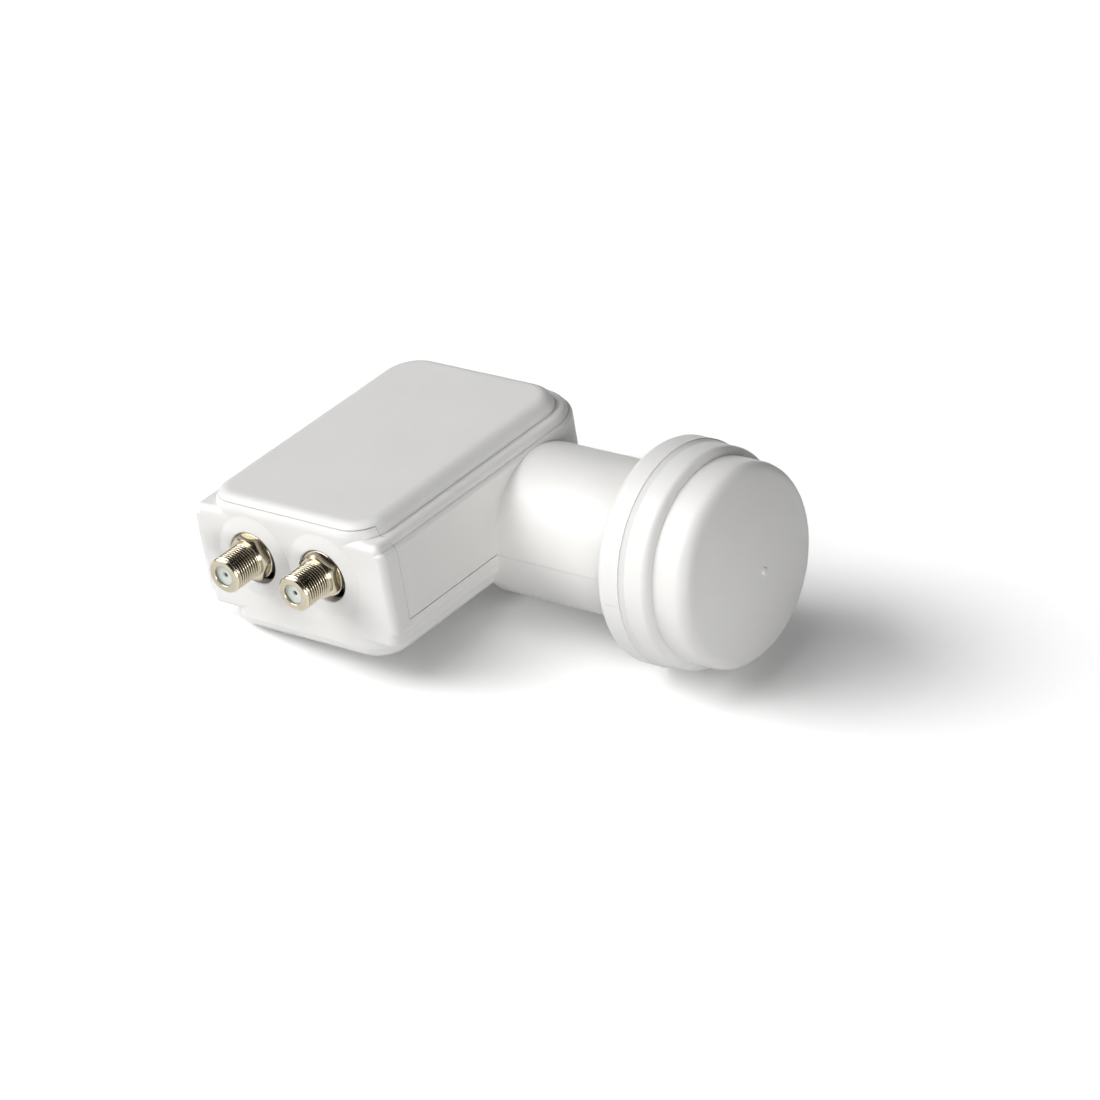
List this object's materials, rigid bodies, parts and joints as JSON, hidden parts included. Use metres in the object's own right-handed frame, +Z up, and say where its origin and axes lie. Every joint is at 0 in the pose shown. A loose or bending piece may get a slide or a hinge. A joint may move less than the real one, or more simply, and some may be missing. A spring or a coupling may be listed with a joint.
{
  "type": "satellite lnb",
  "caption": "L-shaped white satellite LNB: flat stepped housing, round clamp neck with a domed feed cap, and F connectors side by side on its end face.",
  "frame": {"origin": "on the neck axis, where the neck leaves the housing's right wall", "axes": "+X along the neck towards the feed cap, -Y towards the connectors, +Z up through the top plate"},
  "size_m": [0.132, 0.1005, 0.0578],
  "materials": {
    "white_plastic": "fine satin moulded, weatherproof",
    "connector_nickel": "bright nickel plate with a warm tint",
    "insulator_plastic": "smooth milky dielectric",
    "contact_metal": "plated spring bronze",
    "cast_metal": "as cast",
    "seal_rubber": "smooth black",
    "steel": "zinc plated",
    "board_laminate": "green solder mask",
    "chip_plastic": "black moulded epoxy",
    "ceramic": "tan ceramic"
  },
  "bodies": {
    "root": {"upper_shell": "white_plastic", "lower_shell": "white_plastic", "feed_cap": "white_plastic", "cap_seal": "seal_rubber", "casting": "cast_metal", "chamber_cover": "cast_metal", "cover_gasket": "seal_rubber", "cover_screws": "steel", "circuit_board": "board_laminate", "board_screws": "steel", "vertical_probe": "contact_metal", "horizontal_probe": "contact_metal", "vertical_probe_bush": "insulator_plastic", "horizontal_probe_bush": "insulator_plastic", "isolation_pin": "contact_metal", "mixer_chip_left": "chip_plastic", "mixer_chip_right": "chip_plastic", "regulator": "chip_plastic", "crystal": "steel", "filter_capacitors": "ceramic", "connector_body_left": "connector_nickel", "connector_body_right": "connector_nickel", "insulator_left": "insulator_plastic", "insulator_right": "insulator_plastic", "contact_left": "contact_metal", "contact_right": "contact_metal", "connector_washer_left": "connector_nickel", "connector_washer_right": "connector_nickel"}
  },
  "joints": []
}
